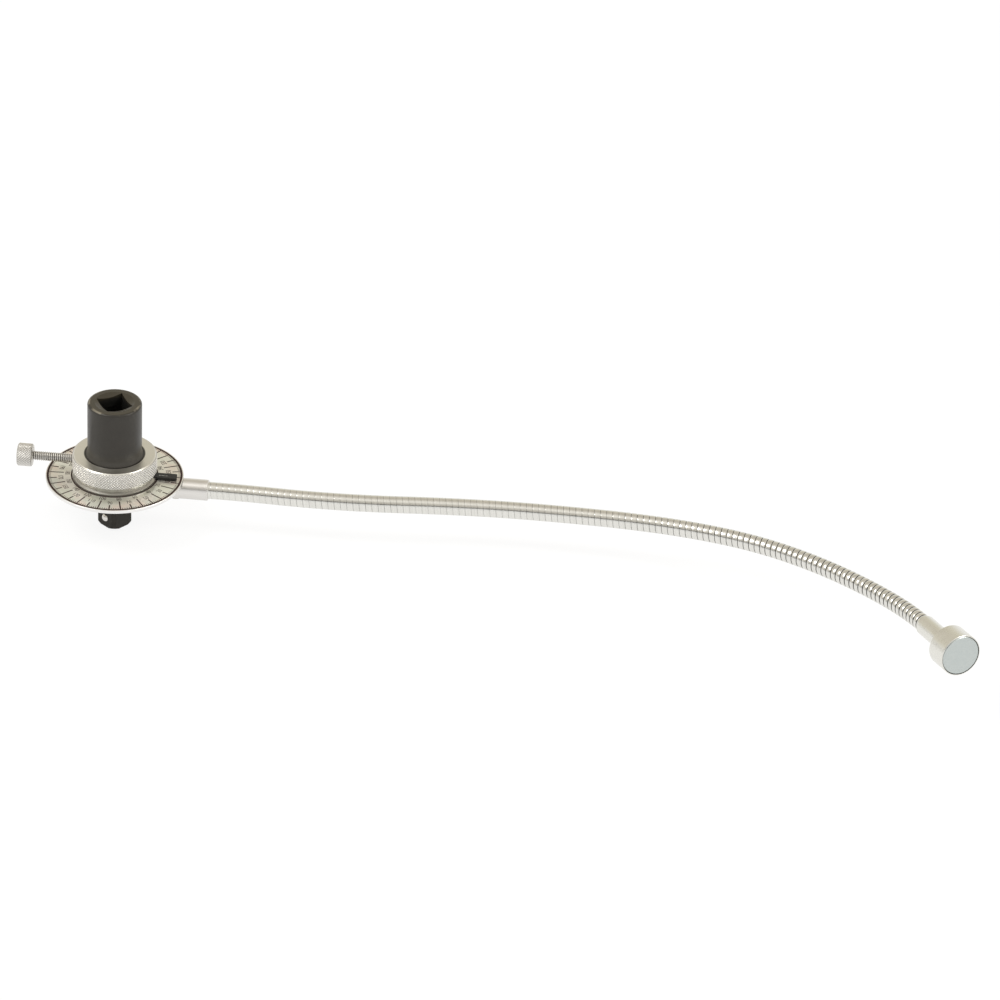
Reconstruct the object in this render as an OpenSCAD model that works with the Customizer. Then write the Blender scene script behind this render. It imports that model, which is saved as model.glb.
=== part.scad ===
// Torque angle gauge: a square-drive spindle carries a free-turning 360 degree dial
// and a clamped pointer ring. A stay-put hose arm with a magnet holds the dial still.
// Millimetres. The origin is the middle of the male square's end face, +Z runs up the
// spindle towards the wrench, and +X runs along the arm at the dial.

/* [Square drive] */
// Nominal size of the male and female square
drive_size = 12.7; // [10:0.1:14]
// Extra width of the female square, so that a tang slides in
socket_play = 0.2; // [0.1:0.05:0.4]
// Depth of the female square below the mouth
socket_depth = 17; // [13:0.5:22]
// Height of the male square below the shoulder
tang_len = 15.3; // [14:0.1:17]
// How far each corner of the male square is trimmed back
tang_corner_trim = 1.06; // [0.5:0.01:1.5]
// Turn of the female square about the spindle axis, in degrees
socket_turn = -13; // [-45:1:45]
// Turn of the male square and its ball about the spindle axis, in degrees
tang_turn = 5; // [-45:1:45]
// Chamfer round the end of the male square
tang_chamfer = 1; // [0.4:0.1:1.5]

/* [Spindle] */
// Overall height of the spindle
spindle_h = 66.2; // [62:0.2:74]
// Diameter of the journal that the dial and the pointer ring turn on
journal_d = 27.4; // [26:0.1:30]
// Step from the journal in to the black barrel
barrel_step = 0.8; // [0.4:0.1:1.6]
// Radius of the hollow sweep between barrel and journal
flare_r = 6; // [3:0.5:9]
// Round on the barrel's top edge
barrel_round = 1.3; // [0.3:0.1:2]
// Width of the barrel's top between its edge and the funnel of the female square
mouth_rim = 3.5; // [2:0.1:3.7]
// Slope of the funnel, in degrees from level
mouth_slope = 22; // [15:1:35]
// Running clearance between a shaft and its hole, on the radius
run_fit = 0.05; // [0.02:0.01:0.08]

/* [Dial] */
// Diameter of the dial plate
dial_d = 65.4; // [62:0.2:72]
// Thickness of the dial plate
dial_t = 1.6; // [1.4:0.1:2.5]
// Wall of the hub bush round the journal
hub_wall = 3; // [2.5:0.1:4]
// Width of the hub's flange under the plate, beyond the bush
flange_w = 4; // [3:0.1:5]
// Thickness of the hub's flange
flange_t = 2.4; // [1.8:0.1:3]
// Length of the hub bush
hub_len = 7.5; // [7:0.1:8]

/* [Retaining ring and washer] */
// Land of the journal below the retaining ring
groove_land = 1.3; // [1:0.1:2]
// Thickness of the thrust washer
washer_t = 0.8; // [0.6:0.05:0.9]
// Thickness of the retaining ring
circlip_t = 1; // [0.8:0.05:1.1]
// Depth of the retaining ring's groove
circlip_groove = 1; // [0.8:0.05:1.3]
// Height of the retaining ring's band, inside to outside
circlip_band = 2.8; // [2.4:0.1:3.2]

/* [Pointer ring] */
// Wall of the knurled band round the journal
ring_wall = 6.1; // [5:0.1:7]
// Height of the knurled band
knurl_h = 8.8; // [7:0.1:10]
// Height of the smooth neck and foot under the knurled band
ring_foot_h = 3.2; // [2.8:0.1:4]
// Step from the knurled band in to the smooth neck
neck_step = 1; // [0.5:0.1:1.5]
// Step from the neck out to the foot flange
foot_step = 1.2; // [0.8:0.1:1.6]
// Thickness of the foot flange
foot_t = 0.9; // [0.6:0.1:1.2]
// Chamfer on the knurled band's edges
ring_chamfer = 0.6; // [0.3:0.1:0.9]

/* [Pointer] */
// How far the pointer stops short of the dial's rim
pointer_short = 3; // [1.5:0.1:6]
// Width of the pointer
pointer_w = 4.3; // [3:0.1:5.5]
// Thickness of the pointer
pointer_t = 1.25; // [1:0.05:1.6]
// Wall of the ring left between the journal and the pointer's root
pointer_back = 1.4; // [1:0.1:2]

/* [Clamp screw] */
// Diameter of the screw
clamp_d = 4.5; // [4:0.1:5.6]
// Height of the screw's axis above the dial
clamp_z = 7.3; // [6:0.1:8.5]
// Distance from the knurled band to the near end of the head
clamp_standoff = 19.3; // [15:0.1:24]
// Diameter of the knurled head
clamp_head_d = 11; // [9:0.1:13]
// Length of the knurled head
clamp_head_len = 7.2; // [6:0.1:11]
// Diameter of the soft pad that presses on the journal
pad_d = 3.8; // [3:0.1:3.9]
// Length of the pad
pad_len = 1.9; // [1.5:0.1:2.2]

/* [Detent ball] */
// Diameter of the ball
ball_d = 4.6; // [3.6:0.1:5]
// Height of the ball's centre above the tang end
ball_z = 4.6; // [4:0.1:8]
// How far the ball stands out of its face
ball_proud = 1; // [0.7:0.05:1.1]
// Travel of the ball when a socket presses it in
ball_travel = 0.9; // [0.6:0.05:1]

/* [Arm] */
// Height of the arm's axis below the dial's upper face
arm_drop = 4.6; // [4:0.1:5.4]
// Wall of the ferrule that joins the arm to the dial
ferrule_wall = 0.85; // [0.6:0.05:1.2]
// Length of the ferrule beyond the dial's rim
ferrule_out = 12.3; // [11:0.1:20]
// Rise of the plane in which the arm bends, towards the front, in degrees
arm_tilt = 6.5; // [0:0.5:12]
// Outside diameter of the strip-wound hose
hose_d = 8.2; // [8:0.05:8.5]
// Length that one turn of the strip takes up
hose_pitch = 3.1; // [2.8:0.05:3.4]
// Width of the groove between two outer bands
hose_groove = 0.5; // [0.45:0.05:0.7]
// Thickness of the strip
strip_t = 0.32; // [0.25:0.01:0.36]
// Turns of strip in each link of the arm
link_turns = 10; // [6:1:14]
// Turns of strip held inside each end fitting
held_turns = 3; // [2:1:3]
// Gap between the hose and the bendable core inside it
core_gap = 0.4; // [0.3:0.05:0.8]

/* [Magnet] */
// Outside diameter of the magnet's cup
cup_d = 19.8; // [18:0.2:24]
// Length of the cup
cup_len = 12.5; // [10:0.5:16]
// Wall of the cup round the magnet
cup_wall = 0.4; // [0.3:0.05:0.8]
// Wall of the neck that holds the hose
cup_neck_wall = 0.6; // [0.6:0.05:1.2]
// Length of the neck
cup_neck_len = 20.2; // [15:0.1:24]
// Thickness of the magnet
magnet_t = 7; // [5:0.5:9]
// Gap between the magnet and its cup
magnet_gap = 0.25; // [0.1:0.05:0.4]

/* [Hidden] */

$fn = 72;
// Overrun that lets a cut pass clean through a face
over = 0.5;
// Gap between two flat faces that slide on each other
slide_gap = 0.1;
// Turn of each arm link to the left, in degrees, as the arm lies at rest
link_angles = [-3.5, 5, 5, -3, -4, -2.5, -5.5, -9, -13, -9.5, -7.5, -12.5];
links = len(link_angles);

// Heights along the spindle, from the shoulder of the male square upwards
circlip_base = tang_len + groove_land;
washer_base = circlip_base + circlip_t + slide_gap;
hub_base = washer_base + washer_t + slide_gap;
dial_top = hub_base + hub_len;
plate_base = dial_top - dial_t;
flange_base = plate_base - flange_t;
barrel_base = dial_top + ring_foot_h + knurl_h;

// Diameters that follow the journal
barrel_d = journal_d - 2 * barrel_step;
mouth_d = barrel_d - 2 * mouth_rim;
hub_d = journal_d + 2 * hub_wall;
flange_d = hub_d + 2 * flange_w;
ring_d = journal_d + 2 * ring_wall;
neck_d = ring_d - 2 * neck_step;
foot_d = neck_d + 2 * foot_step;

// Male square, trimmed to a round at its corners
tang_corner_d = sqrt(2) * drive_size - 2 * tang_corner_trim;

// Female square: relief bore under it and groove for a wrench's ball
socket_af = drive_size + socket_play;
relief_step = 0.45;
relief_d = socket_af - 2 * relief_step;
relief_len = 3;
relief_tip_len = 3.2;
detent_groove_cut = 0.85;
detent_groove_d = socket_af + 2 * detent_groove_cut;
detent_groove_w = 3.4;
detent_groove_depth = 8;
mouth_depth = tan(mouth_slope) * mouth_d / 2;
shoulder_chamfer = 1.2;

// Detent ball, its bore and its spring, measured outwards from the spindle axis
ball_reach = drive_size / 2 + ball_proud - ball_d / 2;
ball_bore_d = ball_d + 2 * run_fit;
ball_lip = 0.4;
ball_lip_fit = 0.03;
ball_lip_at = drive_size / 2 - ball_lip - ball_reach;
ball_lip_d = 2 * (sqrt(pow(ball_d / 2, 2) - pow(ball_lip_at, 2)) + ball_lip_fit);
ball_bore_end = -3.5;
spring_wire = 0.6;
spring_mean_d = 3.2;
spring_turns = 6.5;
spring_start = ball_bore_end + slide_gap;
spring_inner = spring_mean_d / 2 - spring_wire / 2;
spring_stop = ball_reach - ball_travel - sqrt(pow(ball_d / 2, 2) - pow(spring_inner, 2));
spring_end = spring_stop - slide_gap;
spring_sides = 8;
spring_steps = 14;

// Retaining ring: open gap and the two ears for the pliers
circlip_bore_d = journal_d - 2 * circlip_groove + 2 * run_fit;
circlip_gap = 5;
circlip_ear_d = 3.6;
circlip_hole_d = 1.4;
washer_band = 3;

// Ferrule: the hose bore, and the screws that hold it under the plate. The screws and
// their places are shares of the lap between the hub's flange and the dial's rim.
hose_bore_d = hose_d + 2 * run_fit;
held_len = held_turns * hose_pitch;
bore_floor = 0.5;
rim_clearance = 0.2;
ferrule_d = hose_bore_d + 2 * ferrule_wall;
ferrule_end = dial_d / 2 + ferrule_out;
ferrule_lap = (dial_d - flange_d) / 2;
screw_place_shares = [0.29, 0.73];
screw_shank_share = 0.21;
screw_head_share = 0.39;
ferrule_screw_d = screw_shank_share * ferrule_lap;
ferrule_screw_head_d = screw_head_share * ferrule_lap;
ferrule_screw_head_t = 1.5;
plate_skin = 0.5;
ferrule_screw_bite = dial_t - plate_skin;
ferrule_edge = 0.4;

// Edge break of the pointer ring's bore
bore_break = 0.1;

// Pointer: its slot, its screw and the cut index line
pointer_lift = 0.4;
pointer_fit = 0.05;
pointer_root = journal_d / 2 + pointer_back;
pointer_reach = dial_d / 2 - pointer_short;
pointer_screw_in = 2;
pointer_screw_at = pointer_root + pointer_screw_in;
pointer_screw_d = 2;
pointer_screw_head_d = 3.4;
pointer_screw_head_t = 0.6;
pointer_screw_len = 4.4;
index_len = 4.2;
index_w = 0.5;
index_depth = 0.3;
index_gap = 1.2;
tip_bevel = 0.5;

// Clamp screw: stem that carries the pad, bevels of the head
clamp_reach = ring_d / 2 + clamp_standoff;
pad_stem_d = 1.8;
pad_stem_len = 3;
clamp_tip_bevel = 0.6;
clamp_head_bevel = 0.3;
clamp_hole_d = clamp_d + 2 * run_fit;
pad_face = journal_d / 2 + run_fit;

// Hose strip: an outer band and an inner band, each ending in a lip that hooks its
// neighbour. The radii run from the outside inwards.
band_w = hose_pitch - hose_groove;
strip_gap = 0.36;
strip_play = 0.14;
lip_w = 0.25;
hook_reach = 1;
outer_r = hose_d / 2;
outer_under_r = outer_r - strip_t;
inner_top_r = outer_under_r - strip_gap;
inner_r = inner_top_r - strip_t;
link_len = link_turns * hose_pitch;
core_d = 2 * (inner_r - core_gap);
core_sides = 12;

// Magnet cup
cup_neck_d = hose_bore_d + 2 * cup_neck_wall;
cup_round = 1.2;
cup_rim_bevel = 0.15;
neck_bevel = 0.4;
magnet_proud = 0.1;
magnet_bevel = 0.3;

// Colours
black_steel = [0.25, 0.24, 0.22];
bright_steel = [0.78, 0.77, 0.74];
zinc = [0.8, 0.8, 0.78];
brass = [0.78, 0.62, 0.3];
plastic = [0.2, 0.2, 0.2];

// The arm's route: each link is an arc in one plane, which holds the ferrule's axis

function sum_to(list, n) = n <= 0 ? 0 : list[n - 1] + sum_to(list, n - 1);
function sinc(a) = a == 0 ? 1 : sin(a) / (a * PI / 180);
function link_heading(k) = sum_to(link_angles, k);

// Step from a link's start to the share u of its length
function arc_step(k, u) =
  let (half_turn = link_angles[k] * u / 2, way = link_heading(k) + half_turn)
  link_len * u * sinc(half_turn) * [cos(way), sin(way)];

function link_start(k) =
  k == 0 ? [ferrule_end, 0] : link_start(k - 1) + arc_step(k - 1, 1);

// Place and heading at a distance along the arm, straight inside the end fittings
function arm_at(s) =
  let (
    k = min(max(floor(s / link_len), 0), links - 1),
    u = s / link_len - k,
    bent = min(max(u, 0), 1),
    spare = (u - bent) * link_len,
    heading = link_heading(k) + link_angles[k] * bent,
    place = link_start(k) + arc_step(k, bent) + spare * [cos(heading), sin(heading)]
  )
  [place.x, place.y, heading];

// Carries a shape from the level into the plane in which the arm bends
module arm_plane() {
  translate([0, 0, dial_top - arm_drop])
    rotate([-arm_tilt, 0, 0])
      children();
}

// Puts a shape's +Z along the arm at a distance from the ferrule's end
module on_arm(s) {
  at = arm_at(s);
  arm_plane()
    translate([at.x, at.y, 0])
      rotate([0, 0, at.z])
        rotate([0, 90, 0])
          children();
}

// A square bar with a corner that points along the turn
module drive_square(width, height, turn) {
  rotate([0, 0, turn + 45])
    translate([-width / 2, -width / 2, 0])
      cube([width, width, height]);
}

// Puts a shape's +Z along the detent ball's bore, out of its face
module on_ball_axis(reach) {
  rotate([0, 0, tang_turn + 45 + 180])
    translate([reach, 0, ball_z])
      rotate([0, 90, 0])
        children();
}

// Puts a shape's +Z along the clamp screw, away from the spindle
module on_clamp_axis(reach) {
  translate([-reach, 0, dial_top + clamp_z])
    rotate([0, -90, 0])
      children();
}

// A rod with a bevelled edge at each end
module bevelled_rod(d, length, low_bevel, high_bevel) {
  rotate_extrude()
    polygon([
      [0, 0], [d / 2 - low_bevel, 0], [d / 2, low_bevel],
      [d / 2, length - high_bevel], [d / 2 - high_bevel, length], [0, length]
    ]);
}

// Outline of the spindle's turned body, from the journal's foot to the mouth
function spindle_outline() =
  let (
    rise = sqrt(pow(flare_r, 2) - pow(flare_r - (journal_d - barrel_d) / 2, 2)),
    sweep = asin(rise / flare_r),
    steps = 8
  )
  concat(
    [
      [0, tang_len - shoulder_chamfer],
      [tang_corner_d / 2, tang_len - shoulder_chamfer],
      [journal_d / 2 - shoulder_chamfer, tang_len - shoulder_chamfer],
      [journal_d / 2, tang_len],
      [journal_d / 2, barrel_base]
    ],
    [for (i = [1:steps])
      let (a = sweep * (1 - i / steps))
      [barrel_d / 2 + flare_r * (1 - cos(a)), barrel_base + rise - flare_r * sin(a)]],
    [for (i = [0:steps])
      let (a = 90 * i / steps)
      [barrel_d / 2 - barrel_round * (1 - cos(a)), spindle_h - barrel_round * (1 - sin(a))]],
    [[0, spindle_h]]
  );

module drive_spindle() {
  color(black_steel)
    difference() {
      union() {
        rotate_extrude()
          polygon(spindle_outline());
        intersection() {
          drive_square(drive_size, tang_len, tang_turn);
          bevelled_rod(tang_corner_d, tang_len, tang_chamfer, 0);
        }
      }
      translate([0, 0, spindle_h - socket_depth])
        drive_square(socket_af, socket_depth + over, socket_turn);
      translate([0, 0, spindle_h - socket_depth - relief_len])
        cylinder(d = relief_d, h = relief_len + over);
      translate([0, 0, spindle_h - socket_depth - relief_len - relief_tip_len])
        cylinder(d1 = 0, d2 = relief_d, h = relief_tip_len);
      translate([0, 0, spindle_h - detent_groove_depth])
        cylinder(d = detent_groove_d, h = detent_groove_w, center = true);
      translate([0, 0, spindle_h - mouth_depth])
        cylinder(d1 = 0, d2 = mouth_d * (1 + over / mouth_depth), h = mouth_depth + over);
      translate([0, 0, circlip_base - slide_gap / 2])
        difference() {
          cylinder(d = journal_d + over, h = circlip_t + slide_gap);
          translate([0, 0, -over])
            cylinder(d = journal_d - 2 * circlip_groove, h = circlip_t + slide_gap + 2 * over);
        }
      on_ball_axis(ball_bore_end)
        cylinder(d = ball_bore_d, h = drive_size / 2 - ball_lip - ball_bore_end);
      on_ball_axis(0)
        cylinder(d = ball_lip_d, h = drive_size / 2 + over);
    }
}

module detent_ball() {
  color(bright_steel)
    on_ball_axis(ball_reach)
      sphere(d = ball_d);
}

// Rings of points round a helix, for the spring's wire
function spring_ring(i, count) =
  let (
    share = i / count,
    turn = 360 * spring_turns * share,
    height = spring_start + spring_wire / 2
      + (spring_end - spring_start - spring_wire) * share
  )
  [for (j = [0:spring_sides - 1])
    let (
      a = 360 * j / spring_sides,
      r = spring_mean_d / 2 + spring_wire / 2 * cos(a)
    )
    [r * cos(turn), r * sin(turn), height + spring_wire / 2 * sin(a)]];

// A closed skin over rings of points that all have the same number of sides
module skin(rings, sides) {
  count = len(rings);
  points = [for (ring = rings) each ring];
  walls = [for (i = [0:count - 2], j = [0:sides - 1])
    let (next = (j + 1) % sides)
    [i * sides + j, i * sides + next, (i + 1) * sides + next, (i + 1) * sides + j]];
  first = [for (j = [0:sides - 1]) sides - 1 - j];
  last = [for (j = [0:sides - 1]) (count - 1) * sides + j];
  polyhedron(points, concat(walls, [first], [last]), convexity = 6);
}

module detent_spring() {
  count = ceil(spring_turns * spring_steps);
  color(zinc)
    on_ball_axis(0)
      mirror([0, 1, 0])
        skin([for (i = [0:count]) spring_ring(i, count)], spring_sides);
}

module retaining_ring() {
  ear_at = circlip_bore_d / 2 + circlip_band - circlip_ear_d / 2;
  ear_side = circlip_gap / 2 + circlip_ear_d / 2;
  color(black_steel)
    translate([0, 0, circlip_base])
      difference() {
        union() {
          cylinder(d = circlip_bore_d + 2 * circlip_band, h = circlip_t);
          for (side = [-1, 1])
            translate([side * ear_side, ear_at, 0])
              cylinder(d = circlip_ear_d, h = circlip_t);
        }
        translate([0, 0, -over])
          cylinder(d = circlip_bore_d, h = circlip_t + 2 * over);
        translate([-circlip_gap / 2, 0, -over])
          cube([circlip_gap, journal_d, circlip_t + 2 * over]);
        for (side = [-1, 1])
          translate([side * ear_side, ear_at, -over])
            cylinder(d = circlip_hole_d, h = circlip_t + 2 * over);
      }
}

module thrust_washer() {
  color(brass)
    translate([0, 0, washer_base])
      difference() {
        cylinder(d = journal_d + 2 * washer_band, h = washer_t);
        translate([0, 0, -over])
          cylinder(d = journal_d + 2 * run_fit, h = washer_t + 2 * over);
      }
}

module dial_hub() {
  color(bright_steel)
    difference() {
      union() {
        translate([0, 0, hub_base])
          cylinder(d = hub_d, h = hub_len);
        translate([0, 0, flange_base])
          cylinder(d = flange_d, h = flange_t);
      }
      translate([0, 0, hub_base - over])
        cylinder(d = journal_d + 2 * run_fit, h = hub_len + 2 * over);
    }
}

module dial_plate() {
  color([0.85, 0.84, 0.8])
    difference() {
      translate([0, 0, plate_base])
        bevelled_rod(dial_d, dial_t, slide_gap, slide_gap);
      translate([0, 0, plate_base - over])
        cylinder(d = hub_d + 2 * run_fit, h = dial_t + 2 * over);
      ferrule_screw_places()
        cylinder(d = ferrule_screw_d + 2 * run_fit, h = ferrule_screw_bite + slide_gap);
    }
}

// Repeats a shape where each ferrule screw enters the plate from below
module ferrule_screw_places() {
  for (share = screw_place_shares)
    translate([flange_d / 2 + share * ferrule_lap, 0, plate_base])
      children();
}

// Depth from the plate's underside to the seat of a ferrule screw's head
ferrule_seat = arm_drop - dial_t + ferrule_d / 2 - ferrule_screw_head_t - slide_gap;

module arm_ferrule() {
  length = ferrule_end - flange_d / 2;
  color(bright_steel)
    difference() {
      on_arm(-length)
        bevelled_rod(ferrule_d, length, 0, ferrule_edge);
      translate([0, 0, hub_base - ferrule_d])
        cylinder(d = flange_d + 2 * run_fit, h = hub_len + 2 * ferrule_d);
      translate([0, 0, plate_base])
        cylinder(d = dial_d + 2 * rim_clearance, h = ferrule_d);
      on_arm(-held_len - bore_floor)
        cylinder(d = hose_bore_d, h = held_len + bore_floor + over);
      ferrule_screw_places() {
        translate([0, 0, -ferrule_d])
          cylinder(d = ferrule_screw_d + 2 * run_fit, h = ferrule_d + over);
        translate([0, 0, -ferrule_seat - ferrule_d])
          cylinder(d = ferrule_screw_head_d + 2 * run_fit, h = ferrule_d);
      }
    }
}

module ferrule_screws() {
  color(bright_steel)
    ferrule_screw_places() {
      translate([0, 0, -ferrule_seat - ferrule_screw_head_t])
        cylinder(d = ferrule_screw_head_d, h = ferrule_screw_head_t);
      translate([0, 0, -ferrule_seat - ferrule_screw_head_t])
        cylinder(d = ferrule_screw_d, h = ferrule_seat + ferrule_screw_head_t + ferrule_screw_bite);
    }
}

// Outline of the pointer ring: foot flange, smooth neck and the knurled band
function ring_outline() =
  let (
    bore_r = journal_d / 2 + run_fit,
    top = ring_foot_h + knurl_h
  )
  [
    [bore_r, slide_gap], [foot_d / 2, slide_gap], [foot_d / 2, foot_t],
    [neck_d / 2, foot_t + (foot_d - neck_d) / 4], [neck_d / 2, ring_foot_h],
    [ring_d / 2 - ring_chamfer, ring_foot_h], [ring_d / 2, ring_foot_h + ring_chamfer],
    [ring_d / 2, top - ring_chamfer], [ring_d / 2 - ring_chamfer, top],
    [bore_r + bore_break, top], [bore_r, top - bore_break]
  ];

module knurled_ring() {
  slot_w = pointer_w + 2 * pointer_fit;
  color(bright_steel)
    translate([0, 0, dial_top])
      difference() {
        rotate_extrude()
          polygon(ring_outline());
        translate([pointer_root - pointer_fit, -slot_w / 2, -over])
          cube([foot_d, slot_w, pointer_lift + pointer_t + pointer_fit + over]);
        translate([pointer_screw_at, 0, 0])
          cylinder(d = pointer_screw_d + 2 * run_fit,
            h = pointer_lift + pointer_screw_len + slide_gap);
        translate([0, 0, -dial_top])
          on_clamp_axis(journal_d / 2 - over)
            cylinder(d = clamp_hole_d, h = (ring_d - journal_d) / 2 + 2 * over);
      }
}

module pointer() {
  color(black_steel)
    translate([0, 0, dial_top + pointer_lift])
      difference() {
        linear_extrude(pointer_t)
          polygon([
            [pointer_root, -pointer_w / 2], [pointer_reach - tip_bevel, -pointer_w / 2],
            [pointer_reach, -pointer_w / 2 + tip_bevel],
            [pointer_reach, pointer_w / 2 - tip_bevel],
            [pointer_reach - tip_bevel, pointer_w / 2], [pointer_root, pointer_w / 2]
          ]);
        translate([foot_d / 2 + index_gap, -index_w / 2, pointer_t - index_depth])
          cube([index_len, index_w, index_depth + over]);
        translate([pointer_screw_at, 0, -over])
          cylinder(d = pointer_screw_d + 2 * run_fit, h = pointer_t + 2 * over);
        translate([pointer_screw_at, 0, -over])
          cylinder(d = pointer_screw_head_d + 2 * run_fit, h = pointer_screw_head_t + over);
      }
}

module pointer_screw() {
  color(bright_steel)
    translate([pointer_screw_at, 0, dial_top + pointer_lift]) {
      cylinder(d = pointer_screw_head_d, h = pointer_screw_head_t);
      cylinder(d = pointer_screw_d, h = pointer_screw_len);
    }
}

module clamp_pad() {
  color(brass)
    on_clamp_axis(pad_face) {
      cylinder(d = pad_d, h = pad_len);
      cylinder(d = pad_stem_d, h = pad_len + pad_stem_len);
    }
}

module thumb_screw() {
  start = pad_face + pad_len + run_fit;
  shank = clamp_reach - start;
  color(bright_steel)
    difference() {
      union() {
        on_clamp_axis(start)
          bevelled_rod(clamp_d, shank + over, clamp_tip_bevel, 0);
        on_clamp_axis(clamp_reach)
          bevelled_rod(clamp_head_d, clamp_head_len, clamp_head_bevel, clamp_head_bevel);
      }
      on_clamp_axis(start - over)
        cylinder(d = pad_stem_d + 2 * run_fit, h = pad_stem_len + 2 * over);
    }
}

// Cross-section of one turn of strip: the outer band steps down to an inner band that
// reaches under the next turn, and both ends carry a lip
function strip_outline() =
  let (
    low = -band_w / 2,
    high = band_w / 2,
    reach = high + hose_groove + hook_reach,
    outer_lip_r = inner_top_r + strip_play,
    inner_lip_r = outer_under_r - strip_play
  )
  [
    [outer_r, low], [outer_r, high], [inner_top_r, high],
    [inner_top_r, reach - lip_w], [inner_lip_r, reach - lip_w], [inner_lip_r, reach],
    [inner_r, reach], [inner_r, high - strip_t], [outer_under_r, high - strip_t],
    [outer_under_r, low + lip_w], [outer_lip_r, low + lip_w], [outer_lip_r, low]
  ];

// The last turn of the hose has nothing to hook, so it is a plain band
function end_outline() =
  [
    [outer_r, -band_w / 2], [outer_r, band_w / 2],
    [inner_r, band_w / 2], [inner_r, band_w / 2 - strip_t],
    [outer_under_r, band_w / 2 - strip_t], [outer_under_r, -band_w / 2 + lip_w],
    [inner_top_r + strip_play, -band_w / 2 + lip_w], [inner_top_r + strip_play, -band_w / 2]
  ];

// First and last turn of a link, counted from the ferrule's end
function first_turn(k) = k == 0 ? -held_turns : k * link_turns;
function last_turn(k) = (k + 1) * link_turns - 1 + (k == links - 1 ? held_turns : 0);

module hose_link(k) {
  color(zinc)
    for (i = [first_turn(k):last_turn(k)])
      on_arm((i + 0.5) * hose_pitch)
        rotate_extrude()
          polygon(i == last_turn(links - 1) ? end_outline() : strip_outline());
}

// Ring of points round the core at a distance along the arm
function core_ring(s) =
  let (at = arm_at(s))
  [for (j = [0:core_sides - 1])
    let (a = 360 * j / core_sides, side = core_d / 2 * cos(a))
    [at.x - side * sin(at.z), at.y + side * cos(at.z), core_d / 2 * sin(a)]];

module core_link(k) {
  first = first_turn(k) * hose_pitch + hose_groove / 2;
  last = (last_turn(k) + 1) * hose_pitch - hose_groove / 2;
  steps = last_turn(k) - first_turn(k);
  color(plastic)
    arm_plane()
      skin([for (i = [0:steps]) core_ring(first + (last - first) * i / steps)], core_sides);
}

module magnet_cup() {
  arm_len = links * link_len;
  total = cup_neck_len + cup_len;
  pocket = magnet_t - magnet_proud;
  color(bright_steel)
    on_arm(arm_len)
      difference() {
        rotate_extrude()
          polygon([
            [0, 0], [cup_neck_d / 2 - neck_bevel, 0], [cup_neck_d / 2, neck_bevel],
            [cup_neck_d / 2, cup_neck_len], [cup_d / 2 - cup_round, cup_neck_len],
            [cup_d / 2, cup_neck_len + cup_round], [cup_d / 2, total - cup_rim_bevel],
            [cup_d / 2 - cup_rim_bevel, total], [0, total]
          ]);
        translate([0, 0, -over])
          cylinder(d = hose_bore_d, h = held_len + bore_floor + over);
        translate([0, 0, total - pocket])
          cylinder(d = cup_d - 2 * cup_wall, h = pocket + over);
      }
}

module magnet() {
  arm_len = links * link_len;
  color([0.82, 0.84, 0.84])
    on_arm(arm_len + cup_neck_len + cup_len - magnet_t + magnet_proud)
      bevelled_rod(cup_d - 2 * cup_wall - 2 * magnet_gap, magnet_t, 0, magnet_bevel);
}

drive_spindle();
detent_ball();
detent_spring();
retaining_ring();
thrust_washer();
dial_hub();
dial_plate();
arm_ferrule();
ferrule_screws();
knurled_ring();
pointer();
pointer_screw();
clamp_pad();
thumb_screw();
hose_link(0);  // hose_link_1
hose_link(1);  // hose_link_2
hose_link(2);  // hose_link_3
hose_link(3);  // hose_link_4
hose_link(4);  // hose_link_5
hose_link(5);  // hose_link_6
hose_link(6);  // hose_link_7
hose_link(7);  // hose_link_8
hose_link(8);  // hose_link_9
hose_link(9);  // hose_link_10
hose_link(10);  // hose_link_11
hose_link(11);  // hose_link_12
core_link(0);  // core_link_1
core_link(1);  // core_link_2
core_link(2);  // core_link_3
core_link(3);  // core_link_4
core_link(4);  // core_link_5
core_link(5);  // core_link_6
core_link(6);  // core_link_7
core_link(7);  // core_link_8
core_link(8);  // core_link_9
core_link(9);  // core_link_10
core_link(10);  // core_link_11
core_link(11);  // core_link_12
magnet_cup();
magnet();
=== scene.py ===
# %% [markdown]
# A torque angle gauge stands on its square drive. A black spindle carries a degree
# dial and a knurled pointer ring, and a bendable hose arm ends in a round magnet.
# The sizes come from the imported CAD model, which is loaded first and never moved.
# Everything made here is in metres, in that model's own frame.

# %% Load the fixed frame
import math

import bmesh
import bpy
import numpy as np
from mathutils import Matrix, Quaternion, Vector


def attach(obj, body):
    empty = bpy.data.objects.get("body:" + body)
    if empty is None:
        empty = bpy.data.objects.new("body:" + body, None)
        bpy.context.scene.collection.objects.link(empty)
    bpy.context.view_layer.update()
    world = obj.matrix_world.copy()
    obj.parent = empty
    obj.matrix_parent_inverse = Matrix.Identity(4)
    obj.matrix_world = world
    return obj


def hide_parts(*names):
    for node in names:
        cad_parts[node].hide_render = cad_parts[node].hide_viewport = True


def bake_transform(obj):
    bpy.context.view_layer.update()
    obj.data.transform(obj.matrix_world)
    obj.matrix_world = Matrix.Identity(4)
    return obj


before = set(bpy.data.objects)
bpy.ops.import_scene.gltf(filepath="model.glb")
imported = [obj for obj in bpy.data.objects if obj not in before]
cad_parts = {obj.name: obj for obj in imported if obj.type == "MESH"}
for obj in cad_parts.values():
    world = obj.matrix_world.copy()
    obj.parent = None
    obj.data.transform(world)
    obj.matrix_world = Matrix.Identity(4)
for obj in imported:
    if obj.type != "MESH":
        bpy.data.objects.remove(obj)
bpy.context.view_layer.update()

# %% [markdown]
# The camera stands where the photographer stood. The square ends and the level arm
# gave its height, its turn and its distance: about two and a half metres away with a
# long lens, which keeps the dial and the far magnet at nearly one scale.

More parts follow.
